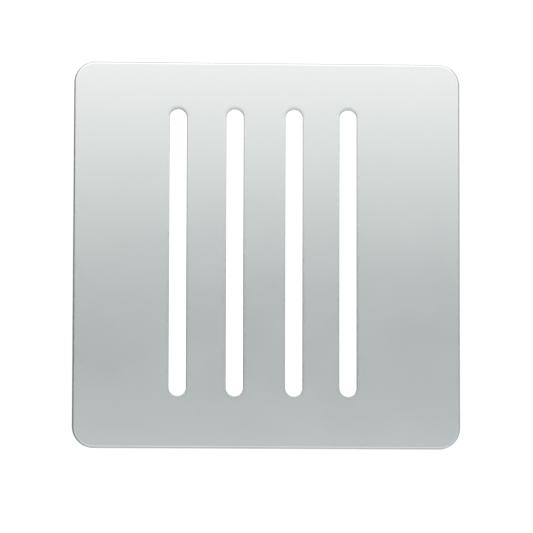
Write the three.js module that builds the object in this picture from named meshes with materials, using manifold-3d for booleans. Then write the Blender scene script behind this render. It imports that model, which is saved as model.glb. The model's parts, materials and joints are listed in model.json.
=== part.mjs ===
// A square floor drain grate with four long slots, lying flat as it does in use.
// Millimetres, +Z up. The origin is under the centre of the plate, on the surface that the feet stand on.

import * as THREE from "three";
import { mergeVertices } from "three/addons/utils/BufferGeometryUtils.js";
import Module from "manifold-3d";

const wasm = await Module();
wasm.setup();

// The plate and its slots
const PLATE_SIDE = 100;
const PLATE_THICKNESS = 2;
const CORNER_RADIUS = 5.5;
const SLOT_WIDTH = 4.5;
const SLOT_LENGTH = 74.4;
const SLOT_CENTRE_Y = 0.7;
const SLOT_CENTRES_X = [-23, -8.3, 7, 21];

// Flat bars on edge, welded under the webs between the slots and tied across at both ends
const BAR_THICKNESS = 2.5;
const BAR_DEPTH = 6;
const CROSS_BAR_Y = 43;
const CROSS_BAR_LENGTH = 56;

// Levelling feet, one near each corner
const FOOT_OFFSET = 36;
const HEIGHT_TRAVEL = 2.5;
const STOP_GAP = 0.3;
const BOSS_RADIUS = 5;
const BOSS_BORE_RADIUS = 3.1;
const BOSS_HEIGHT = 6.2;
const SHANK_RADIUS = 2.95;
const COLLAR_ACROSS_FLATS = 10;
const COLLAR_HEIGHT = 3;
const STUB_RADIUS = 2.5;
const STUB_LENGTH = 2.2;
const PAD_RADIUS = 7;
const PAD_HEIGHT = 4;
const PAD_SOCKET_RADIUS = 2.8;
const PAD_SOCKET_DEPTH = 2.5;
const PAD_EDGE_RADIUS = 0.8;

// Levels, from the surface under the feet upwards
const COLLAR_TOP_Z = PAD_HEIGHT + COLLAR_HEIGHT;
const BOSS_BOTTOM_Z = COLLAR_TOP_Z + HEIGHT_TRAVEL + STOP_GAP;
const PLATE_BOTTOM_Z = BOSS_BOTTOM_Z + BOSS_HEIGHT;
const SHANK_TOP_Z = PLATE_BOTTOM_Z - STOP_GAP - HEIGHT_TRAVEL;

// Facets of the round stretches
const CORNER_SEGMENTS = 6;
const SLOT_END_SEGMENTS = 8;
const ROUND_SEGMENTS = 32;
const PAD_EDGE_SEGMENTS = 2;
const CUT_OVERSHOOT = 1;

const stainless = { color: 0xc3c6c5, roughness: 0.32, metalness: 1 };
const barSteel = { color: 0xa9abab, roughness: 0.45, metalness: 1 };
const screwSteel = { color: 0xb4b2ab, roughness: 0.3, metalness: 1 };
const rubber = { color: 0x1b1b1c, roughness: 0.85, metalness: 0 };

const grate = new THREE.Group();

function addPiece(name, geometry, finish, x, y, z) {
  const mesh = new THREE.Mesh(geometry, new THREE.MeshStandardMaterial(finish));
  mesh.name = name;
  mesh.position.set(x, y, z);
  grate.add(mesh);
}

function toSolid(geometry) {
  const plain = geometry.clone();
  plain.deleteAttribute("normal");
  plain.deleteAttribute("uv");
  const merged = mergeVertices(plain);
  const mesh = new wasm.Mesh({
    numProp: 3,
    vertProperties: new Float32Array(merged.attributes.position.array),
    triVerts: new Uint32Array(merged.index.array),
  });
  return new wasm.Manifold(mesh);
}

function toGeometry(solid) {
  const mesh = solid.getMesh();
  const geometry = new THREE.BufferGeometry();
  geometry.setAttribute("position", new THREE.BufferAttribute(mesh.vertProperties, mesh.numProp));
  geometry.setIndex(new THREE.BufferAttribute(mesh.triVerts, 1));
  return geometry;
}

function extrudeUp(shape, height, curveSegments) {
  return new THREE.ExtrudeGeometry(shape, { depth: height, bevelEnabled: false, curveSegments });
}

// A cylinder that stands on z = 0
function uprightCylinder(radius, height, segments = ROUND_SEGMENTS) {
  return new THREE.CylinderGeometry(radius, radius, height, segments)
    .rotateX(Math.PI / 2)
    .translate(0, 0, height / 2);
}

function roundedSquare(side, radius) {
  const half = side / 2;
  const inner = half - radius;
  const shape = new THREE.Shape();
  shape.absarc(inner, inner, radius, 0, Math.PI / 2);
  shape.absarc(-inner, inner, radius, Math.PI / 2, Math.PI);
  shape.absarc(-inner, -inner, radius, Math.PI, 1.5 * Math.PI);
  shape.absarc(inner, -inner, radius, 1.5 * Math.PI, 2 * Math.PI);
  shape.closePath();
  return shape;
}

// A straight slot along Y with full-radius ends
function slotOutline(centreX) {
  const radius = SLOT_WIDTH / 2;
  const reach = SLOT_LENGTH / 2 - radius;
  const outline = new THREE.Shape();
  outline.absarc(centreX, SLOT_CENTRE_Y + reach, radius, 0, Math.PI);
  outline.absarc(centreX, SLOT_CENTRE_Y - reach, radius, Math.PI, 2 * Math.PI);
  outline.closePath();
  return outline;
}

function slottedPlate() {
  let plate = toSolid(extrudeUp(roundedSquare(PLATE_SIDE, CORNER_RADIUS), PLATE_THICKNESS, CORNER_SEGMENTS));
  for (const centreX of SLOT_CENTRES_X) {
    const depth = PLATE_THICKNESS + 2 * CUT_OVERSHOOT;
    const cutter = extrudeUp(slotOutline(centreX), depth, SLOT_END_SEGMENTS);
    cutter.translate(0, 0, -CUT_OVERSHOOT);
    plate = plate.subtract(toSolid(cutter));
  }
  return toGeometry(plate);
}

function rib() {
  const length = 2 * CROSS_BAR_Y - BAR_THICKNESS;
  return new THREE.BoxGeometry(BAR_THICKNESS, length, BAR_DEPTH);
}

function crossBar() {
  return new THREE.BoxGeometry(CROSS_BAR_LENGTH, BAR_THICKNESS, BAR_DEPTH);
}

// A round boss with a threaded hole right through it
function footBoss() {
  const boss = toSolid(uprightCylinder(BOSS_RADIUS, BOSS_HEIGHT));
  const bore = uprightCylinder(BOSS_BORE_RADIUS, BOSS_HEIGHT + 2 * CUT_OVERSHOOT);
  bore.translate(0, 0, -CUT_OVERSHOOT);
  return toGeometry(boss.subtract(toSolid(bore)));
}

// A screw with a hexagonal collar to turn it by, and a plain stub below that swivels in the rubber foot.
// Its own z = 0 is the underside of the collar.
function levellingScrew() {
  const collarRadius = COLLAR_ACROSS_FLATS / Math.sqrt(3);
  const shankLength = SHANK_TOP_Z - PAD_HEIGHT;
  const collar = toSolid(uprightCylinder(collarRadius, COLLAR_HEIGHT, 6));
  const shank = toSolid(uprightCylinder(SHANK_RADIUS, shankLength));
  const stub = uprightCylinder(STUB_RADIUS, STUB_LENGTH + CUT_OVERSHOOT);
  stub.translate(0, 0, -STUB_LENGTH);
  return toGeometry(collar.add(shank).add(toSolid(stub)));
}

// A rubber foot with rounded edges and a round socket in its top
function rubberFoot() {
  const profile = new THREE.Path();
  const inner = PAD_RADIUS - PAD_EDGE_RADIUS;
  profile.moveTo(0, 0);
  profile.lineTo(inner, 0);
  profile.absarc(inner, PAD_EDGE_RADIUS, PAD_EDGE_RADIUS, -Math.PI / 2, 0);
  profile.absarc(inner, PAD_HEIGHT - PAD_EDGE_RADIUS, PAD_EDGE_RADIUS, 0, Math.PI / 2);
  profile.lineTo(PAD_SOCKET_RADIUS, PAD_HEIGHT);
  profile.lineTo(PAD_SOCKET_RADIUS, PAD_HEIGHT - PAD_SOCKET_DEPTH);
  profile.lineTo(0, PAD_HEIGHT - PAD_SOCKET_DEPTH);
  return new THREE.LatheGeometry(profile.getPoints(PAD_EDGE_SEGMENTS), ROUND_SEGMENTS).rotateX(Math.PI / 2);
}

function addPlate() {
  addPiece("grate_plate", slottedPlate(), stainless, 0, 0, PLATE_BOTTOM_Z);
}

function addBars() {
  const z = PLATE_BOTTOM_Z - BAR_DEPTH / 2;
  const ribNames = ["rib_left", "rib_centre", "rib_right"];
  ribNames.forEach((name, i) => {
    const midWebX = (SLOT_CENTRES_X[i] + SLOT_CENTRES_X[i + 1]) / 2;
    addPiece(name, rib(), barSteel, midWebX, 0, z);
  });
  addPiece("cross_bar_back", crossBar(), barSteel, 0, CROSS_BAR_Y, z);
  addPiece("cross_bar_front", crossBar(), barSteel, 0, -CROSS_BAR_Y, z);
}

function addLevellingFeet() {
  const rows = { front: -FOOT_OFFSET, back: FOOT_OFFSET };
  const columns = { left: -FOOT_OFFSET, right: FOOT_OFFSET };
  for (const [row, y] of Object.entries(rows)) {
    for (const [column, x] of Object.entries(columns)) {
      addPiece(`foot_boss_${row}_${column}`, footBoss(), barSteel, x, y, BOSS_BOTTOM_Z);
      addPiece(`levelling_screw_${row}_${column}`, levellingScrew(), screwSteel, x, y, PAD_HEIGHT);
      addPiece(`rubber_foot_${row}_${column}`, rubberFoot(), rubber, x, y, 0);
    }
  }
}

addPlate();
addBars();
addLevellingFeet();

export default grate;
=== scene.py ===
import json
import math

import bmesh
import bpy
from mathutils import Matrix, Vector


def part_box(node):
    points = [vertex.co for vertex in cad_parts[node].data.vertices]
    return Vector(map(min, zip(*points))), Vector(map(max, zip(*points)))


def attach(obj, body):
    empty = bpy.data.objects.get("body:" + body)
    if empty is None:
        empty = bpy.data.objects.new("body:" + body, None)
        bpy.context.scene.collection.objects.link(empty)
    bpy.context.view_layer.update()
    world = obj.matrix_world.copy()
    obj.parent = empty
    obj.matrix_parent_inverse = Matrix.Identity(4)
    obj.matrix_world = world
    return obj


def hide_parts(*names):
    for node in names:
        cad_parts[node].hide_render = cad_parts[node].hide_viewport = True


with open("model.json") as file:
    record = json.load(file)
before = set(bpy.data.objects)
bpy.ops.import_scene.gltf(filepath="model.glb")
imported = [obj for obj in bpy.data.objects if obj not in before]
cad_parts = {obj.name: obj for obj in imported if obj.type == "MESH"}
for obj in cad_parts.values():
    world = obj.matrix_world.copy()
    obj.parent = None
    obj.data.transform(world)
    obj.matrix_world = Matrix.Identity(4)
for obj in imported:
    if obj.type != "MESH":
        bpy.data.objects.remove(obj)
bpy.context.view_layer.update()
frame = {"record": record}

# ---------------------------------------------------------------- driving sizes, in metres and degrees

MM = 0.001

# The plate, beyond what its CAD node says
CORNER_RADIUS = 5.5 * MM
SLOT_WIDTH = 4.5 * MM
SLOT_LENGTH = 74.4 * MM
TOP_EDGE_RADIUS = 0.55 * MM
BOTTOM_EDGE_RADIUS = 0.25 * MM
SLOT_EDGE_RADIUS = 0.16 * MM
SLOT_ROLL_WIDTH = 0.9 * MM
SLOT_ROLL_DEPTH = 0.03 * MM
SLOT_BURR_CHAMFER = 0.12 * MM
SUPPORT_GAP = 0.06 * MM
SUPPORT_WIDTH = 0.25 * MM

# Bars, welds and bosses
BAR_EDGE_RADIUS = 0.35 * MM
WELD_LEG = 1.3 * MM
WELD_SINK = 0.15 * MM
WELD_RIPPLE_PITCH = 0.75 * MM
WELD_RIPPLE = 0.13
WELD_RIPPLE_DIP = 0.4
WELD_WANDER = 0.05
WELD_FINE_WANDER = 0.03
WELD_WANDER_LENGTH = 3.7 * MM
WELD_TAPER = 0.12
WELD_END_SIZE = 0.06
WELD_SECTION_STEPS = 8
WELD_FLATNESS = 1.15
WELD_STEP = 0.12 * MM
STITCH_LENGTH = 8.0 * MM
RIB_STITCHES = (0.12, 0.5, 0.88)
CROSS_BAR_STITCHES = (0.1, 0.9)
CORNER_WELD_LEG = 0.8 * WELD_LEG
CORNER_WELD_INSET = 0.6 * MM
BOSS_CHAMFER = 0.5 * MM
BOSS_BORE_RADIUS = 3.1 * MM
BOSS_THREAD_DEPTH = 0.28 * MM
BOSS_COUNTERSINK = BOSS_THREAD_DEPTH + 0.15 * MM

# Levelling screws
THREAD_PITCH = 1.0 * MM
THREAD_STEEPNESS = 1.5
THREAD_ROOT_FLAT = 0.18
THREAD_TOP_RADIUS = 2.95 * MM
THREAD_ROOT_RADIUS = 2.42 * MM
NECK_RADIUS = 2.35 * MM
NECK_HEIGHT = 0.8 * MM
NECK_FILLET = 0.25 * MM
LEAD_IN = 0.25 * MM
THREAD_FADE = 0.4 * MM
COLLAR_ACROSS_FLATS = 10.0 * MM
COLLAR_HEIGHT = 3.0 * MM
COLLAR_CORNER_RADIUS = 5.66 * MM
COLLAR_CHAMFER_START = 4.75 * MM
COLLAR_CHAMFER_SLOPE = math.tan(math.radians(30))
COLLAR_CHAMFER_STEPS = 6
STUB_RADIUS = 2.5 * MM
STUB_LENGTH = 2.2 * MM
STUB_BARB = 0.3 * MM

# Rubber feet
FOOT_EDGE_RADIUS = 0.8 * MM
FOOT_SOCKET_RADIUS = 2.8 * MM
FOOT_SOCKET_DEPTH = 2.5 * MM
FOOT_SOCKET_LIP = 0.25 * MM
FOOT_GROOVE_DEPTH = 0.35 * MM
FOOT_GROOVE_SLOPE = 0.2 * MM
FOOT_GROOVE_SHARES = (0.42, 0.58)
GRIP_RING_DEPTH = 0.3 * MM
GRIP_RING_WIDTH = 0.45 * MM
GRIP_RING_SLOPE = 0.15 * MM
GRIP_RING_START = 1.0 * MM
GRIP_RING_PITCH = 2.2 * GRIP_RING_WIDTH + 2 * GRIP_RING_SLOPE
GRIP_RING_EDGE = 0.35 * MM

# Finishes: linear colours, and depths in metres
SATIN_STEEL = (0.74, 0.745, 0.742)
SATIN_STEEL_DULL = (0.735, 0.74, 0.737)
SATIN_STEEL_BRIGHT = (0.745, 0.75, 0.747)
BAR_STEEL = (0.57, 0.57, 0.56)
BAR_STEEL_DARK = (0.52, 0.52, 0.51)
BAR_STEEL_LIGHT = (0.62, 0.62, 0.61)
TURNED_STEEL = (0.6, 0.6, 0.585)
SCREW_STEEL = (0.62, 0.61, 0.58)
WELD_METAL = (0.5, 0.48, 0.45)
WELD_STRAW = (0.55, 0.46, 0.36)
WELD_BLUE = (0.42, 0.44, 0.5)
RUBBER = (0.022, 0.022, 0.024)
RUBBER_DARK = (0.018, 0.018, 0.02)
RUBBER_LIGHT = (0.035, 0.035, 0.036)
TINT_BLUE = (0.2, 0.26, 0.38)
TINT_PURPLE = (0.36, 0.26, 0.33)
TINT_STRAW = (0.62, 0.5, 0.3)
TINT_PURPLE_AT = 0.35
TINT_STRAW_AT = 0.55
TINT_UNEVENNESS = 0.2
BOSS_TINT_START = 6.0 * MM
BOSS_TINT_END = 10.5 * MM
BOSS_TINT_DEPTH = 4.8 * MM
EDGE_POLISH = 0.05
CUT_ROUGHNESS = 0.08
GRAIN_DEPTH = 0.4e-6
STRIATION_DEPTH = 4e-6
BAR_LINE_DEPTH = 4e-6
TOOL_MARK_DEPTH = 4e-6
SCREW_MARK_DEPTH = 3e-6
WELD_PITTING_DEPTH = 15e-6
RUBBER_TEXTURE_DEPTH = 15e-6

# Facets
CORNER_STEPS = 24
SLOT_END_STEPS = 32
STRAIGHT_STEPS = 20
EDGE_STEPS = 8
ROLL_STEPS = 8
LATHE_STEPS = 96
THREAD_AROUND = 72
THREAD_STEPS_PER_TURN = 14
BAR_EDGE_STEPS = 4
ARC_STEPS = 6
# Edges that turn more than this, in degrees, are drawn sharp
BOSS_SHARP_ANGLE = 35
SCREW_SHARP_ANGLE = 32
FOOT_SHARP_ANGLE = 40

# The camera: how far it is, and how the plate leans as seen from it
CAMERA_DISTANCE = 1.0
CAMERA_LENS_MM = 261.8
SENSOR_MM = 36.0
CAMERA_NEAR = 0.01
PLATE_TILT = -5.60
PLATE_YAW = 2.79
PLATE_ROLL = -0.41
PLATE_SHIFT_X = 0.13 * MM
PLATE_SHIFT_Y = 3.03 * MM

# The studio
FLOOR_HALF_SIZE = 3.0
FLOOR_ALBEDO = 0.3
FLOOR_ROUGHNESS = 0.9
# How brightly the camera sees the floor glow, with a painted shadow under the plate and beside it, and how
# far out from under the plate's middle it changes from the one to the other, and then to full
PAINTED_SHADOW_GLOW_UNDER = 0.55
PAINTED_SHADOW_GLOW_BESIDE = 0.88
PAINTED_SHADOW_EDGE = (36 * MM, 49 * MM)
PAINTED_SHADOW_REACH = (55 * MM, 160 * MM)
# The painted light on the floor below the slots lies where the camera looks through them, so beside and
# behind them
PAINTED_SLOT_LIGHT_SHIFT = Vector((0.8 * MM, 1.8 * MM))
PAINTED_SLOT_LIGHT_MARGIN = 0.8 * MM
PAINTED_SLOT_LIGHT_FADE = 4.5 * MM
SOFTBOX_HEIGHT = 0.30
SOFTBOX_WIDTH = 0.5
# Each light panel overhead: its name, where it starts and ends along Y, its power in watts and its colour.
# The one towards the front is dim and cool, and the one towards the back is brighter and warm.
SOFTBOXES = (
    ("front_softbox", -0.45, -0.03, 0.40, (0.905, 0.98, 1.0)),
    ("middle_softbox", 0.03, 0.09, 0.06, (0.90, 1.0, 0.975)),
    ("back_softbox", 0.09, 0.51, 0.795, (1.0, 0.94, 0.953)),
)
ROOM_OVERHEAD = (0.285, 0.305, 0.305)
# Towards each side, the axis, its sign, and what is added to the tone overhead
ROOM_SIDES = (
    ("X", -1, (-0.12, -0.15, -0.16)),
    ("X", 1, (0.26, 0.25, 0.25)),
    ("Y", -1, (0.22, 0.22, 0.23)),
    ("Y", 1, (0.5, 0.49, 0.49)),
)

CORNERS = [(row, column) for row in ("front", "back") for column in ("left", "right")]

plate_low, plate_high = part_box("grate_plate")
face_centre = Vector(((plate_low.x + plate_high.x) / 2, (plate_low.y + plate_high.y) / 2, plate_high.z))


def slot_centres():
    """The middle of each drain slot, from the openings that the record states."""
    centres = []
    for opening in frame["record"]["physics"]["openings"]:
        low, high = opening["box_m"]
        centres.append(Vector(((low[0] + high[0]) / 2, (low[1] + high[1]) / 2)))
    return sorted(centres, key=lambda centre: centre.x)


# ---------------------------------------------------------------- mesh helpers


def to_object(bm, name, body, node, material, sharp_above=None):
    """Turns a bmesh into a named piece that stands for a CAD node, or for none, and rides on a body."""
    bmesh.ops.recalc_face_normals(bm, faces=bm.faces)
    for face in bm.faces:
        face.smooth = True
    if sharp_above is not None:
        for edge in bm.edges:
            edge.smooth = edge.calc_face_angle(0) < math.radians(sharp_above)
    mesh = bpy.data.meshes.new(name)
    bm.to_mesh(mesh)
    bm.free()
    mesh.materials.append(material)
    piece = bpy.data.objects.new(name, mesh)
    bpy.context.scene.collection.objects.link(piece)
    if node:
        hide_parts(node)
    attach(piece, body)
    return piece


def weight_normals(piece):
    """Keeps flat faces looking flat next to their rounded edges."""
    modifier = piece.modifiers.new("weighted_normals", "WEIGHTED_NORMAL")
    modifier.keep_sharp = True


def bridge(bm, lower, upper):
    """Quads between two closed rings with the same number of vertices."""
    count = len(lower)
    for i in range(count):
        j = (i + 1) % count
        bm.faces.new((lower[i], lower[j], upper[j], upper[i]))


def lathe(bm, profile, steps=LATHE_STEPS, shape=None, closed=False):
    """Turns (radius, z) points round the Z axis. A radius of 0 closes the end, and closed joins both ends.
    shape(radius, z, angle) may move a point off the round."""
    rings = []
    for radius, z in profile:
        if radius == 0:
            rings.append([bm.verts.new((0, 0, z))])
            continue
        ring = []
        for step in range(steps):
            angle = 2 * math.pi * step / steps
            r = shape(radius, z, angle) if shape else radius
            ring.append(bm.verts.new((r * math.cos(angle), r * math.sin(angle), z)))
        rings.append(ring)
    for lower, upper in zip(rings, rings[1:]):
        if len(lower) == 1 or len(upper) == 1:
            tip, ring = (lower, upper) if len(lower) == 1 else (upper, lower)
            for i in range(steps):
                bm.faces.new((tip[0], ring[i], ring[(i + 1) % steps]))
        else:
            bridge(bm, lower, upper)
    if closed:
        bridge(bm, rings[-1], rings[0])


def arc(centre_r, centre_z, radius, start, end):
    """(radius, z) points of a lathe profile on an arc, with the angles in degrees."""
    points = []
    for step in range(ARC_STEPS + 1):
        angle = math.radians(start + (end - start) * step / ARC_STEPS)
        points.append((centre_r + radius * math.cos(angle), centre_z + radius * math.sin(angle)))
    return points


# ---------------------------------------------------------------- the plate


def square_outline(half, radius):
    """(point, outward normal) pairs anticlockwise round a square with round corners."""
    outline = []
    for quarter in range(4):
        turn = Matrix.Rotation(quarter * math.pi / 2, 2)
        centre = turn @ Vector((half - radius, half - radius))
        next_centre = Matrix.Rotation(math.pi / 2, 2) @ centre
        for step in range(CORNER_STEPS + 1):
            angle = math.pi / 2 * (quarter + step / CORNER_STEPS)
            normal = Vector((math.cos(angle), math.sin(angle)))
            outline.append((centre + radius * normal, normal))
        for step in range(1, STRAIGHT_STEPS):
            outline.append((centre.lerp(next_centre, step / STRAIGHT_STEPS) + radius * normal, normal))
    return outline


def slot_outline(centre):
    """(point, normal into the metal) pairs anticlockwise round a slot along Y with round ends."""
    radius = SLOT_WIDTH / 2
    reach = Vector((0, SLOT_LENGTH / 2 - radius))
    outline = []
    for end, start_angle in ((centre + reach, 0), (centre - reach, math.pi)):
        other = centre - (end - centre)
        for step in range(SLOT_END_STEPS + 1):
            angle = start_angle + math.pi * step / SLOT_END_STEPS
            normal = Vector((math.cos(angle), math.sin(angle)))
            outline.append((end + radius * normal, normal))
        for step in range(1, STRAIGHT_STEPS):
            outline.append((end.lerp(other, step / STRAIGHT_STEPS) + radius * normal, normal))
    return outline


def rim_profile(thickness):
    """(distance in from the outline, height, edge wear, cut wall) down the outer rim of the plate."""
    top, bottom = TOP_EDGE_RADIUS, BOTTOM_EDGE_RADIUS
    profile = [(top + SUPPORT_WIDTH, thickness, 0, 0), (top + SUPPORT_GAP, thickness, 0, 0)]
    for step in range(EDGE_STEPS + 1):
        share = step / EDGE_STEPS
        angle = math.pi / 2 * share
        inward = top * (1 - math.sin(angle))
        height = thickness - top * (1 - math.cos(angle))
        profile.append((inward, height, 1 - share, share**4))
    for step in range(EDGE_STEPS // 2 + 1):
        share = step / (EDGE_STEPS // 2)
        angle = math.pi / 2 * share
        profile.append((bottom * (1 - math.cos(angle)), bottom * (1 - math.sin(angle)), 0, 1 - share))
    return profile + [(bottom + SUPPORT_GAP, 0, 0, 0), (bottom + SUPPORT_WIDTH, 0, 0, 0)]


def slot_profile(thickness):
    """(distance into the metal, height, edge wear, cut wall) down the wall of a punched slot.
    The punch draws the face down a little all round the slot, and leaves a small burr, taken off below."""
    slope = math.atan(2 * SLOT_ROLL_DEPTH / (SLOT_ROLL_WIDTH - SLOT_EDGE_RADIUS))
    roll_end = SLOT_EDGE_RADIUS * (1 - math.sin(slope))
    profile = [
        (SLOT_ROLL_WIDTH + SUPPORT_WIDTH, thickness, 0, 0),
        (SLOT_ROLL_WIDTH + SUPPORT_GAP, thickness, 0, 0),
    ]
    for step in range(ROLL_STEPS):
        share = step / ROLL_STEPS
        inward = SLOT_ROLL_WIDTH + (roll_end - SLOT_ROLL_WIDTH) * share
        profile.append((inward, thickness - SLOT_ROLL_DEPTH * share**2, share / 2, 0))
    for step in range(EDGE_STEPS + 1):
        angle = slope + (math.pi / 2 - slope) * step / EDGE_STEPS
        drop = SLOT_ROLL_DEPTH + SLOT_EDGE_RADIUS * (math.cos(slope) - math.cos(angle))
        upright = step / EDGE_STEPS
        profile.append((SLOT_EDGE_RADIUS * (1 - math.sin(angle)), thickness - drop, 1 - upright, upright**4))
    profile.append((0, SLOT_BURR_CHAMFER, 0, 1))
    for inward, edge_wear in ((0, 1), (SUPPORT_GAP, 0), (SUPPORT_WIDTH, 0)):
        profile.append((SLOT_BURR_CHAMFER + inward, 0, edge_wear, 0))
    return profile


def plate_wall(bm, outline, profile, into_metal, base_z):
    """Rings of an outline down a profile. Returns the edges of the first and of the last ring."""
    wear = bm.verts.layers.float["edge_wear"]
    wall = bm.verts.layers.float["cut_wall"]
    rings = []
    for inward, height, edge_wear, cut_wall in profile:
        ring = []
        for point, normal in outline:
            place = point + normal * inward * into_metal
            vert = bm.verts.new((place.x, place.y, base_z + height))
            vert[wear] = edge_wear
            vert[wall] = cut_wall
            ring.append(vert)
        rings.append(ring)
    for upper, lower in zip(rings, rings[1:]):
        bridge(bm, lower, upper)
    ends = []
    for ring in (rings[0], rings[-1]):
        ends.append([bm.edges.get((ring[i - 1], ring[i])) for i in range(len(ring))])
    return ends


def make_plate(material):
    bm = bmesh.new()
    bm.verts.layers.float.new("edge_wear")
    bm.verts.layers.float.new("cut_wall")
    thickness = plate_high.z - plate_low.z
    half = (plate_high.x - plate_low.x) / 2
    outline = square_outline(half, CORNER_RADIUS)
    top_edges, bottom_edges = plate_wall(bm, outline, rim_profile(thickness), -1, plate_low.z)
    for centre in slot_centres():
        top, bottom = plate_wall(bm, slot_outline(centre), slot_profile(thickness), 1, plate_low.z)
        top_edges += top
        bottom_edges += bottom
    bmesh.ops.triangle_fill(bm, use_beauty=True, edges=top_edges, normal=(0, 0, 1))
    bmesh.ops.triangle_fill(bm, use_beauty=True, edges=bottom_edges, normal=(0, 0, -1))
    return to_object(bm, "slotted_plate", "grate", "grate_plate", material)


# ---------------------------------------------------------------- bars and welds


def make_bar(node, material):
    low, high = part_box(node)
    bm = bmesh.new()
    size = Matrix.Diagonal((*(high - low), 1))
    bmesh.ops.create_cube(bm, size=1, matrix=Matrix.Translation((low + high) / 2) @ size)
    bmesh.ops.bevel(
        bm, geom=bm.edges, offset=BAR_EDGE_RADIUS, segments=BAR_EDGE_STEPS, profile=0.5, affect="EDGES"
    )
    weight_normals(to_object(bm, f"{node}_bar", "grate", node, material))


def weld_size(distance, length, closed):
    """How full a weld bead is along its length: ripples, a slow wander, and ends that taper."""
    wave = (distance / WELD_RIPPLE_PITCH) % 1
    ripple = 1 + WELD_RIPPLE * (wave**2 - WELD_RIPPLE_DIP)
    turns = round(length / WELD_WANDER_LENGTH) * 2 * math.pi * distance / length
    wander = 1 + WELD_WANDER * math.sin(turns) + WELD_FINE_WANDER * math.sin(2 * turns + 1)
    if closed:
        return ripple * wander
    to_end = min(distance, length - distance) / (WELD_TAPER * length)
    return ripple * wander * math.sqrt(WELD_END_SIZE + (1 - WELD_END_SIZE) * min(1, max(0, to_end)))


def weld_bead(bm, path, out, across, leg=WELD_LEG, closed=False):
    """A fillet weld bead along a path of points in the corner between two faces.
    out and across give, at each point, the directions of the two faces away from the corner."""
    points = path + path[:1] if closed else path
    length = sum((b - a).length for a, b in zip(points, points[1:]))
    rings = []
    distance = 0
    for i, point in enumerate(path):
        distance += (point - path[i - 1]).length if i else 0
        full = leg * weld_size(distance, length, closed) + WELD_SINK
        corner = point - (out[i] + across[i]) * WELD_SINK
        ring = [bm.verts.new(corner)]
        for step in range(WELD_SECTION_STEPS + 1):
            angle = math.pi / 2 * step / WELD_SECTION_STEPS
            reach_out = full * math.cos(angle) ** WELD_FLATNESS
            reach_across = full * math.sin(angle) ** WELD_FLATNESS
            ring.append(bm.verts.new(corner + out[i] * reach_out + across[i] * reach_across))
        rings.append(ring)
    for lower, upper in zip(rings, rings[1:]):
        bridge(bm, lower, upper)
    if closed:
        bridge(bm, rings[-1], rings[0])
    else:
        bm.faces.new(rings[0])
        bm.faces.new(rings[-1])


def straight_bead(bm, start, end, out, across, leg=WELD_LEG):
    steps = round((end - start).length / WELD_STEP)
    path = [start.lerp(end, step / steps) for step in range(steps + 1)]
    weld_bead(bm, path, [out] * len(path), [across] * len(path), leg)


def stitch_welds(name, node, stitches, material):
    """Short beads along both sides of a bar, where it meets the underside of the plate."""
    low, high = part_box(node)
    along_y = high.y - low.y > high.x - low.x
    down = Vector((0, 0, -1))
    bm = bmesh.new()
    for share in stitches:
        for side in (-1, 1):
            if along_y:
                middle = low.y + (high.y - low.y) * share
                x = high.x if side > 0 else low.x
                start = Vector((x, middle - STITCH_LENGTH / 2, high.z))
                end = Vector((x, middle + STITCH_LENGTH / 2, high.z))
                out = Vector((side, 0, 0))
            else:
                middle = low.x + (high.x - low.x) * share
                y = high.y if side > 0 else low.y
                start = Vector((middle - STITCH_LENGTH / 2, y, high.z))
                end = Vector((middle + STITCH_LENGTH / 2, y, high.z))
                out = Vector((0, side, 0))
            straight_bead(bm, start, end, out, down)
    to_object(bm, name, "grate", None, material)


def corner_welds(rib, material):
    """Upright beads in the corners between a rib and the two cross bars."""
    low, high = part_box(rib)
    bm = bmesh.new()
    for x, side in ((low.x, -1), (high.x, 1)):
        for y, inward in ((low.y, 1), (high.y, -1)):
            start = Vector((x, y, high.z - CORNER_WELD_INSET))
            end = Vector((x, y, low.z + CORNER_WELD_INSET))
            straight_bead(bm, start, end, Vector((side, 0, 0)), Vector((0, inward, 0)), CORNER_WELD_LEG)
    to_object(bm, f"{rib}_corner_welds", "grate", None, material)


def boss_weld(node, material):
    """A bead all round a boss, under the plate."""
    low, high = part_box(node)
    centre = (low + high) / 2
    radius = (high.x - low.x) / 2
    steps = round(2 * math.pi * radius / WELD_STEP)
    out = []
    for step in range(steps):
        angle = 2 * math.pi * step / steps
        out.append(Vector((math.cos(angle), math.sin(angle), 0)))
    path = [Vector((centre.x, centre.y, high.z)) + radius * direction for direction in out]
    bm = bmesh.new()
    weld_bead(bm, path, out, [Vector((0, 0, -1))] * steps, closed=True)
    to_object(bm, f"{node}_weld", "grate", None, material)


def make_bars(bar_material, weld_material):
    for name in ("left", "centre", "right"):
        rib = f"rib_{name}"
        make_bar(rib, bar_material)
        stitch_welds(f"{rib}_stitch_welds", rib, RIB_STITCHES, weld_material)
        corner_welds(rib, weld_material)
    for name in ("front", "back"):
        bar = f"cross_bar_{name}"
        make_bar(bar, bar_material)
        stitch_welds(f"{bar}_stitch_welds", bar, CROSS_BAR_STITCHES, weld_material)


# ---------------------------------------------------------------- bosses, screws and rubber feet


def thread_wave(z, angle):
    """0 at the root and 1 at the crest of a right-hand thread, rising with a flat at each."""
    turn = (z / THREAD_PITCH - angle / (2 * math.pi)) % 1
    rise = 1 - abs(2 * turn - 1)
    return min(1, max(0, rise * THREAD_STEEPNESS - THREAD_ROOT_FLAT))


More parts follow.
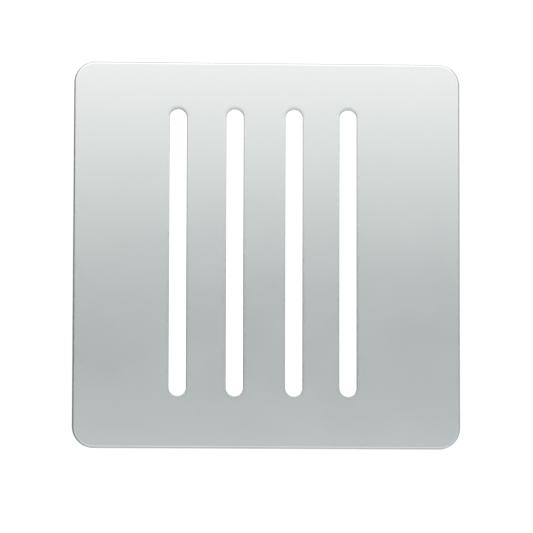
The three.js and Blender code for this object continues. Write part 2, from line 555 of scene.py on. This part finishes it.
def make_boss(corner, material, weld_material):
    """A turned boss with its outer rim chamfered below and an M6 thread cut right through it."""
    node = f"foot_boss_{corner[0]}_{corner[1]}"
    low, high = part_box(node)
    centre = (low + high) / 2
    radius = (high.x - low.x) / 2
    height = high.z - low.z
    thread_length = height - BOSS_COUNTERSINK
    steps = round(thread_length / THREAD_PITCH * THREAD_STEPS_PER_TURN)
    profile = [
        (radius, height),
        (radius, BOSS_CHAMFER + SUPPORT_WIDTH),
        (radius, BOSS_CHAMFER),
        (radius - BOSS_CHAMFER, 0),
        (BOSS_BORE_RADIUS + BOSS_COUNTERSINK, 0),
    ]
    for step in range(steps + 1):
        profile.append((BOSS_BORE_RADIUS, BOSS_COUNTERSINK + thread_length * step / steps))

    def cut_thread(r, z, angle):
        if r > BOSS_BORE_RADIUS or z >= height:
            return r
        fade = min(1, (z - BOSS_COUNTERSINK) / THREAD_FADE)
        return r + BOSS_THREAD_DEPTH * thread_wave(low.z + z, angle) * fade

    bm = bmesh.new()
    lathe(bm, profile, LATHE_STEPS, cut_thread, closed=True)
    bmesh.ops.translate(bm, verts=bm.verts, vec=(centre.x, centre.y, low.z))
    weight_normals(to_object(bm, f"{node}_turned", "grate", node, material, BOSS_SHARP_ANGLE))
    boss_weld(node, weld_material)


def hexagon_radius(angle):
    """Distance from the centre of a hexagon to its side, with a flat face on +X, and turned-down corners."""
    part = (angle + math.pi / 6) % (math.pi / 3) - math.pi / 6
    return min(COLLAR_CORNER_RADIUS, COLLAR_ACROSS_FLATS / 2 / math.cos(part))


def stub_profile():
    """(radius, z) up the stub that swivels in the rubber foot, to the underside of the collar at z = 0.
    A barb at its end snaps into the rubber."""
    waist = STUB_RADIUS - STUB_BARB
    return [
        (0, -STUB_LENGTH),
        (waist, -STUB_LENGTH),
        (STUB_RADIUS, STUB_BARB - STUB_LENGTH),
        (STUB_RADIUS, 2 * STUB_BARB - STUB_LENGTH),
        (waist, 3 * STUB_BARB - STUB_LENGTH),
        (waist, -STUB_BARB),
        (STUB_RADIUS, 0),
    ]


def collar_profile():
    """(radius, z) up the collar, chamfered on both faces as a turned hexagon is."""
    width = COLLAR_CORNER_RADIUS - COLLAR_CHAMFER_START
    rise = width * COLLAR_CHAMFER_SLOPE
    shares = [step / COLLAR_CHAMFER_STEPS for step in range(COLLAR_CHAMFER_STEPS + 1)]
    below = [(COLLAR_CHAMFER_START + width * share, rise * share) for share in shares]
    above = [(radius, COLLAR_HEIGHT - z) for radius, z in reversed(below)]
    return below + above


def make_screw(corner, material):
    """Stub, hexagonal collar, turned neck and threaded shank, in one piece."""
    node = f"levelling_screw_{corner[0]}_{corner[1]}"
    low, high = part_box(node)
    centre = (low + high) / 2
    underside = low.z + STUB_LENGTH
    shank_top = high.z - underside
    thread_low = COLLAR_HEIGHT + NECK_HEIGHT
    end_radius = THREAD_ROOT_RADIUS - LEAD_IN
    steps = round((shank_top - thread_low) / THREAD_PITCH * THREAD_STEPS_PER_TURN)
    profile = stub_profile() + collar_profile()
    profile += [(NECK_RADIUS + NECK_FILLET, COLLAR_HEIGHT), (NECK_RADIUS, COLLAR_HEIGHT + NECK_FILLET)]
    for step in range(steps + 1):
        profile.append((THREAD_TOP_RADIUS, thread_low + (shank_top - thread_low) * step / steps))
    profile.append((0, shank_top))

    def cut_hexagon_and_thread(r, z, angle):
        if z < thread_low:
            return min(r, hexagon_radius(angle))
        depth = THREAD_TOP_RADIUS - THREAD_ROOT_RADIUS
        fade = min(1, (z - thread_low) / THREAD_FADE)
        thread = THREAD_ROOT_RADIUS + depth * thread_wave(underside + z, angle) * fade
        return min(thread, end_radius + shank_top - z)

    bm = bmesh.new()
    lathe(bm, profile, THREAD_AROUND, cut_hexagon_and_thread)
    bmesh.ops.translate(bm, verts=bm.verts, vec=(centre.x, centre.y, underside))
    body = f"screw_{corner[0]}_{corner[1]}"
    weight_normals(to_object(bm, f"{node}_threaded", body, node, material, SCREW_SHARP_ANGLE))


def foot_profile(radius, height):
    """(radius, z) of a rubber foot: grip rings below, a groove round its side and a socket in its top."""
    edge = FOOT_EDGE_RADIUS
    profile = [(0, GRIP_RING_DEPTH)]
    ring_radius = GRIP_RING_START
    while ring_radius + 2 * GRIP_RING_WIDTH < radius - edge:
        flat_start = ring_radius + GRIP_RING_SLOPE
        flat_end = flat_start + GRIP_RING_WIDTH
        profile += [
            (ring_radius, GRIP_RING_DEPTH),
            (flat_start, 0),
            (flat_end, 0),
            (flat_end + GRIP_RING_SLOPE, GRIP_RING_DEPTH),
        ]
        ring_radius += GRIP_RING_PITCH
    rim = radius - edge - GRIP_RING_EDGE
    profile += [(rim - GRIP_RING_SLOPE, GRIP_RING_DEPTH), (rim, 0)]
    profile += arc(radius - edge, edge, edge, -90, 0)
    groove_low, groove_high = [share * height for share in FOOT_GROOVE_SHARES]
    profile += [
        (radius, groove_low),
        (radius - FOOT_GROOVE_DEPTH, groove_low + FOOT_GROOVE_SLOPE),
        (radius - FOOT_GROOVE_DEPTH, groove_high - FOOT_GROOVE_SLOPE),
        (radius, groove_high),
    ]
    profile += arc(radius - edge, height - edge, edge, 0, 90)
    profile += [
        (FOOT_SOCKET_RADIUS + FOOT_SOCKET_LIP, height),
        (FOOT_SOCKET_RADIUS, height - FOOT_SOCKET_LIP),
        (FOOT_SOCKET_RADIUS, height - FOOT_SOCKET_DEPTH),
        (0, height - FOOT_SOCKET_DEPTH),
    ]
    return profile


def make_rubber_foot(corner, material):
    node = f"rubber_foot_{corner[0]}_{corner[1]}"
    low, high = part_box(node)
    centre = (low + high) / 2
    bm = bmesh.new()
    lathe(bm, foot_profile((high.x - low.x) / 2, high.z - low.z))
    bmesh.ops.translate(bm, verts=bm.verts, vec=(centre.x, centre.y, low.z))
    body = f"foot_{corner[0]}_{corner[1]}"
    weight_normals(to_object(bm, f"{node}_moulded", body, node, material, FOOT_SHARP_ANGLE))


# ---------------------------------------------------------------- materials

# Sockets of the Mix node by number, because those for numbers, vectors and colours share their names
MIX_AMOUNT = 0
MIX_FIRST_COLOUR = 6
MIX_SECOND_COLOUR = 7
MIX_COLOUR_OUT = 2


def new_material(name, colour, metallic, roughness):
    """A Principled material. Returns it with its tree, its shader and its object coordinates.
    The colour and roughness given here are what a viewer shows that can't follow the nodes."""
    material = bpy.data.materials.new(name)
    material.use_nodes = True
    tree = material.node_tree
    shader = tree.nodes["Principled BSDF"]
    shader.inputs["Base Color"].default_value = (*colour, 1)
    shader.inputs["Metallic"].default_value = metallic
    shader.inputs["Roughness"].default_value = roughness
    material.diffuse_color = (*colour, 1)
    place = tree.nodes.new("ShaderNodeTexCoord").outputs["Object"]
    return material, tree, shader, place


def noise(tree, place, scale, detail=2.0, stretch=(1, 1, 1)):
    """Noise over the object, in features per metre. stretch slows it along an axis."""
    mapping = tree.nodes.new("ShaderNodeMapping")
    mapping.inputs["Scale"].default_value = stretch
    tree.links.new(place, mapping.inputs["Vector"])
    texture = tree.nodes.new("ShaderNodeTexNoise")
    texture.inputs["Scale"].default_value = scale
    texture.inputs["Detail"].default_value = detail
    tree.links.new(mapping.outputs["Vector"], texture.inputs["Vector"])
    return texture.outputs["Fac"]


def spread(tree, value, low, high, source_low=0.3, source_high=0.7, interpolation="LINEAR"):
    """Maps a value to a range, without going outside it. Noise mostly lies between 0.3 and 0.7."""
    node = tree.nodes.new("ShaderNodeMapRange")
    node.clamp = True
    node.interpolation_type = interpolation
    node.inputs["From Min"].default_value = source_low
    node.inputs["From Max"].default_value = source_high
    node.inputs["To Min"].default_value = low
    node.inputs["To Max"].default_value = high
    tree.links.new(value, node.inputs["Value"])
    return node.outputs["Result"]


def math_node(tree, operation, first, second=None, third=None):
    """A math node. Each value is a socket or a number."""
    node = tree.nodes.new("ShaderNodeMath")
    node.operation = operation
    for index, value in enumerate((first, second, third)):
        if value is None:
            continue
        if isinstance(value, (int, float)):
            node.inputs[index].default_value = value
        else:
            tree.links.new(value, node.inputs[index])
    return node.outputs["Value"]


def mix_colours(tree, amount, first, second):
    """Blends two colours, each a socket or three numbers."""
    node = tree.nodes.new("ShaderNodeMix")
    node.data_type = "RGBA"
    tree.links.new(amount, node.inputs[MIX_AMOUNT])
    for index, value in ((MIX_FIRST_COLOUR, first), (MIX_SECOND_COLOUR, second)):
        if isinstance(value, tuple):
            node.inputs[index].default_value = (*value, 1)
        else:
            tree.links.new(value, node.inputs[index])
    return node.outputs[MIX_COLOUR_OUT]


def bump(tree, shader, height, distance):
    node = tree.nodes.new("ShaderNodeBump")
    node.inputs["Distance"].default_value = distance
    tree.links.new(height, node.inputs["Height"])
    tree.links.new(node.outputs["Normal"], shader.inputs["Normal"])


def vertex_value(tree, name):
    """A value stored on the mesh's vertices."""
    node = tree.nodes.new("ShaderNodeAttribute")
    node.attribute_name = name
    return node.outputs["Fac"]


def coordinate(tree, place, axis):
    axes = tree.nodes.new("ShaderNodeSeparateXYZ")
    tree.links.new(place, axes.inputs["Vector"])
    return axes.outputs[axis]


def heat_tint(tree, place, distance, steel):
    """Steel beside a weld: blue at the bead, then purple and straw, and plain steel further out.
    distance is 0 at the bead and 1 where the tint ends."""
    blotches = noise(tree, place, scale=900, detail=3)
    ramp = tree.nodes.new("ShaderNodeValToRGB")
    stops = ramp.color_ramp.elements
    stops[0].position, stops[0].color = 0, (*TINT_BLUE, 1)
    stops[1].position, stops[1].color = TINT_PURPLE_AT, (*TINT_PURPLE, 1)
    for position, colour in ((TINT_STRAW_AT, TINT_STRAW), (1 - TINT_UNEVENNESS, steel)):
        stop = stops.new(position)
        stop.color = (*colour, 1)
    shift = spread(tree, blotches, -TINT_UNEVENNESS, TINT_UNEVENNESS)
    tree.links.new(math_node(tree, "ADD", distance, shift), ramp.inputs["Fac"])
    return ramp.outputs["Color"]


def distance_from_boss(tree, place):
    """Metres from the axis of the nearest boss. The four stand symmetrically."""
    low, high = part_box("foot_boss_back_right")
    centre = (low + high) / 2
    squares = []
    for axis, middle in (("X", centre.x), ("Y", centre.y)):
        from_middle = math_node(tree, "ABSOLUTE", coordinate(tree, place, axis))
        offset = math_node(tree, "SUBTRACT", from_middle, middle)
        squares.append(math_node(tree, "POWER", offset, 2))
    return math_node(tree, "SQRT", math_node(tree, "ADD", *squares))


def satin_plate():
    """Satin stainless sheet: a very fine grain along the slots, upright striations on its cut walls, edges
    polished a little by use, and heat tint below round the bosses."""
    material, tree, shader, place = new_material("satin_stainless", SATIN_STEEL, 1, roughness=0.3)
    grain = noise(tree, place, scale=9000, detail=3, stretch=(1, 0.05, 1))
    striations = noise(tree, place, scale=4500, detail=3, stretch=(1, 1, 0.05))
    cloud = noise(tree, place, scale=60, detail=3)
    wear = vertex_value(tree, "edge_wear")
    wall = vertex_value(tree, "cut_wall")
    fine = spread(tree, grain, low=0.28, high=0.32)
    broad = spread(tree, cloud, low=-0.01, high=0.01)
    rough = math_node(tree, "ADD", fine, broad)
    rough = math_node(tree, "MULTIPLY_ADD", wear, -EDGE_POLISH, rough)
    rough = math_node(tree, "MULTIPLY_ADD", wall, CUT_ROUGHNESS, rough)
    tree.links.new(rough, shader.inputs["Roughness"])
    plain = mix_colours(tree, spread(tree, cloud, low=0, high=1), SATIN_STEEL_DULL, SATIN_STEEL_BRIGHT)
    ring = spread(tree, distance_from_boss(tree, place), 0, 1, BOSS_TINT_START, BOSS_TINT_END)
    tinted_steel = heat_tint(tree, place, ring, SATIN_STEEL)
    below = spread(tree, coordinate(tree, place, "Z"), 1, 0, plate_low.z, plate_low.z + BOTTOM_EDGE_RADIUS)
    tree.links.new(mix_colours(tree, below, plain, tinted_steel), shader.inputs["Base Color"])
    cut = math_node(tree, "MULTIPLY", math_node(tree, "MULTIPLY", striations, wall), STRIATION_DEPTH)
    bump(tree, shader, math_node(tree, "MULTIPLY_ADD", grain, GRAIN_DEPTH, cut), 1.0)
    return material


def bar_steel():
    """Mill-finished flat bar: fine upright lines and a blotchy grey skin."""
    material, tree, shader, place = new_material("drawn_bar_steel", BAR_STEEL, 1, roughness=0.42)
    lines = noise(tree, place, scale=3000, detail=3, stretch=(1, 1, 0.1))
    skin = noise(tree, place, scale=150, detail=4)
    tree.links.new(spread(tree, skin, low=0.36, high=0.5), shader.inputs["Roughness"])
    colour = mix_colours(tree, spread(tree, skin, low=0, high=1), BAR_STEEL_DARK, BAR_STEEL_LIGHT)
    tree.links.new(colour, shader.inputs["Base Color"])
    bump(tree, shader, lines, BAR_LINE_DEPTH)
    return material


def boss_steel():
    """Turned steel with tool marks round it, and heat tint below its weld."""
    material, tree, shader, place = new_material("turned_boss_steel", TURNED_STEEL, 1, roughness=0.32)
    marks = noise(tree, place, scale=5000, detail=2, stretch=(0.08, 0.08, 1))
    cloud = noise(tree, place, scale=300, detail=3)
    tree.links.new(spread(tree, cloud, low=0.26, high=0.4), shader.inputs["Roughness"])
    height = coordinate(tree, place, "Z")
    below_weld = spread(tree, height, 1, 0, plate_low.z - BOSS_TINT_DEPTH, plate_low.z - WELD_LEG)
    tree.links.new(heat_tint(tree, place, below_weld, TURNED_STEEL), shader.inputs["Base Color"])
    bump(tree, shader, marks, TOOL_MARK_DEPTH)
    return material


def weld_metal():
    """Weld beads as they were left, between straw and blue, with pitting."""
    material, tree, shader, place = new_material("weld_bead", WELD_METAL, 1, roughness=0.35)
    cloud = noise(tree, place, scale=500, detail=3)
    tree.links.new(spread(tree, cloud, low=0.25, high=0.5), shader.inputs["Roughness"])
    colour = mix_colours(tree, spread(tree, cloud, low=0, high=1), WELD_STRAW, WELD_BLUE)
    tree.links.new(colour, shader.inputs["Base Color"])
    bump(tree, shader, cloud, WELD_PITTING_DEPTH)
    return material


def screw_steel():
    """Turned stainless with fine tool marks."""
    material, tree, shader, place = new_material("turned_screw_steel", SCREW_STEEL, 1, roughness=0.3)
    cloud = noise(tree, place, scale=400, detail=3)
    marks = noise(tree, place, scale=6000, detail=2, stretch=(0.1, 0.1, 1))
    tree.links.new(spread(tree, cloud, low=0.24, high=0.38), shader.inputs["Roughness"])
    bump(tree, shader, marks, SCREW_MARK_DEPTH)
    return material


def foot_rubber():
    """Matt moulded rubber, with a faint bloom."""
    material, tree, shader, place = new_material("black_rubber", RUBBER, 0, roughness=0.75)
    cloud = noise(tree, place, scale=300, detail=4)
    texture = noise(tree, place, scale=5000, detail=2)
    tree.links.new(spread(tree, cloud, low=0.65, high=0.85), shader.inputs["Roughness"])
    colour = mix_colours(tree, spread(tree, cloud, low=0, high=1), RUBBER_DARK, RUBBER_LIGHT)
    tree.links.new(colour, shader.inputs["Base Color"])
    bump(tree, shader, texture, RUBBER_TEXTURE_DEPTH)
    return material


# ---------------------------------------------------------------- stage, light and camera


def tinted(tree, tint, amount):
    """A colour scaled by a socket."""
    node = tree.nodes.new("ShaderNodeVectorMath")
    node.operation = "SCALE"
    node.inputs[0].default_value = tint
    tree.links.new(amount, node.inputs["Scale"])
    return node.outputs["Vector"]


def room_colour(tree, direction):
    """The dim room that the metal reflects: one tone overhead, and another towards each side."""
    axes = tree.nodes.new("ShaderNodeSeparateXYZ")
    tree.links.new(direction, axes.inputs["Vector"])
    colour = None
    for axis, sign, tint in ROOM_SIDES:
        towards = math_node(tree, "MAXIMUM", math_node(tree, "MULTIPLY", axes.outputs[axis], sign), 0)
        side = tinted(tree, tint, math_node(tree, "POWER", towards, 2))
        adder = tree.nodes.new("ShaderNodeVectorMath")
        tree.links.new(side, adder.inputs[0])
        if colour is None:
            adder.inputs[1].default_value = ROOM_OVERHEAD
        else:
            tree.links.new(colour, adder.inputs[1])
        colour = adder.outputs["Vector"]
    return colour


def painted_slot_light(tree, position, centre, width):
    """The painted light below a slot, along one axis: 1 within a stretch, fading to 0 on both sides of it."""
    offset = math_node(tree, "ABSOLUTE", math_node(tree, "SUBTRACT", position, centre))
    inner = width / 2 + PAINTED_SLOT_LIGHT_MARGIN
    return spread(tree, offset, 1, 0, inner, inner + PAINTED_SLOT_LIGHT_FADE, "SMOOTHSTEP")


def painted_floor_glow(tree, place):
    """How brightly the camera sees the floor glow: a painted shadow under the plate, and painted light below
    the slots.
    It is least under the plate, and full far away and below the slots."""
    axes = tree.nodes.new("ShaderNodeSeparateXYZ")
    tree.links.new(place, axes.inputs["Vector"])
    sides = [math_node(tree, "ABSOLUTE", axes.outputs[axis]) for axis in ("X", "Y")]
    outwards = math_node(tree, "MAXIMUM", *sides)
    # Painted shadow under the plate, with a soft painted surround that fades out
    under = spread(tree, outwards, PAINTED_SHADOW_GLOW_UNDER, PAINTED_SHADOW_GLOW_BESIDE, *PAINTED_SHADOW_EDGE)
    around = spread(tree, outwards, 0, 1 - PAINTED_SHADOW_GLOW_BESIDE, *PAINTED_SHADOW_REACH)
    glow = math_node(tree, "ADD", under, around)
    # Painted light on the floor below each slot, at full glow
    for centre in slot_centres():
        across = painted_slot_light(tree, axes.outputs["X"], centre.x + PAINTED_SLOT_LIGHT_SHIFT.x, SLOT_WIDTH)
        along = painted_slot_light(tree, axes.outputs["Y"], centre.y + PAINTED_SLOT_LIGHT_SHIFT.y, SLOT_LENGTH)
        glow = math_node(tree, "MAXIMUM", glow, math_node(tree, "MULTIPLY", across, along))
    return glow


def make_floor():
    """A white floor, which glows white to the camera with a painted shadow under the plate and painted light
    below the slots, and glows the dim room's tones towards the metal.
    """
    bm = bmesh.new()
    bmesh.ops.create_grid(bm, x_segments=1, y_segments=1, size=FLOOR_HALF_SIZE)
    mesh = bpy.data.meshes.new("floor")
    bm.to_mesh(mesh)
    bm.free()
    floor = bpy.data.objects.new("floor", mesh)
    bpy.context.scene.collection.objects.link(floor)
    material, tree, shader, place = new_material("white_floor", (FLOOR_ALBEDO,) * 3, 0, FLOOR_ROUGHNESS)
    shader.inputs["Specular IOR Level"].default_value = 0
    shader.inputs["Emission Strength"].default_value = 1
    outwards = tree.nodes.new("ShaderNodeVectorMath")
    outwards.operation = "NORMALIZE"
    tree.links.new(place, outwards.inputs[0])
    room_glow = room_colour(tree, outwards.outputs["Vector"])
    seen = tinted(tree, (1, 1, 1), painted_floor_glow(tree, place))
    rays = tree.nodes.new("ShaderNodeLightPath")
    # The camera sees the glow with its painted shadow and light, and everything else sees the room's tones
    # glowing
    colour = mix_colours(tree, rays.outputs["Is Camera Ray"], room_glow, seen)
    tree.links.new(colour, shader.inputs["Emission Color"])
    mesh.materials.append(material)


def make_world():
    """White where the camera looks past the floor, and a dim room to everything else."""
    world = bpy.data.worlds.new("studio")
    world.use_nodes = True
    tree = world.node_tree
    background = tree.nodes["Background"]
    direction = tree.nodes.new("ShaderNodeTexCoord").outputs["Generated"]
    rays = tree.nodes.new("ShaderNodeLightPath")
    colour = mix_colours(tree, rays.outputs["Is Camera Ray"], room_colour(tree, direction), (1, 1, 1))
    tree.links.new(colour, background.inputs["Color"])
    bpy.context.scene.world = world


def softbox(name, front_y, back_y, power, colour):
    """A flat light panel overhead, facing straight down, from one place along Y to another."""
    data = bpy.data.lights.new(name, "AREA")
    data.shape = "RECTANGLE"
    data.size = SOFTBOX_WIDTH
    data.size_y = back_y - front_y
    data.energy = power
    data.color = colour
    light = bpy.data.objects.new(name, data)
    bpy.context.scene.collection.objects.link(light)
    light.location = (0, (front_y + back_y) / 2, SOFTBOX_HEIGHT)
    light.visible_camera = False


def make_camera():
    """Sets the camera from the lean of the plate in view: tilt about X, then yaw about Y, then roll."""
    data = bpy.data.cameras.new("camera")
    data.lens = CAMERA_LENS_MM
    data.sensor_width = SENSOR_MM
    data.clip_start = CAMERA_NEAR
    camera = bpy.data.objects.new("camera", data)
    bpy.context.scene.collection.objects.link(camera)
    lean = (
        Matrix.Rotation(math.radians(PLATE_ROLL), 3, "Z")
        @ Matrix.Rotation(math.radians(PLATE_YAW), 3, "Y")
        @ Matrix.Rotation(math.radians(PLATE_TILT), 3, "X")
    )
    facing = lean.transposed()
    place = face_centre + facing @ Vector((-PLATE_SHIFT_X, -PLATE_SHIFT_Y, CAMERA_DISTANCE))
    camera.matrix_world = Matrix.Translation(place) @ facing.to_4x4()
    bpy.context.scene.camera = camera


def make_object():
    bars = bar_steel()
    bosses = boss_steel()
    welds = weld_metal()
    screws = screw_steel()
    rubber = foot_rubber()
    make_plate(satin_plate())
    make_bars(bars, welds)
    for corner in CORNERS:
        make_boss(corner, bosses, welds)
        make_screw(corner, screws)
        make_rubber_foot(corner, rubber)


make_camera()
make_world()
for panel in SOFTBOXES:
    softbox(*panel)
make_floor()
make_object()
bpy.context.scene.view_settings.view_transform = "Standard"
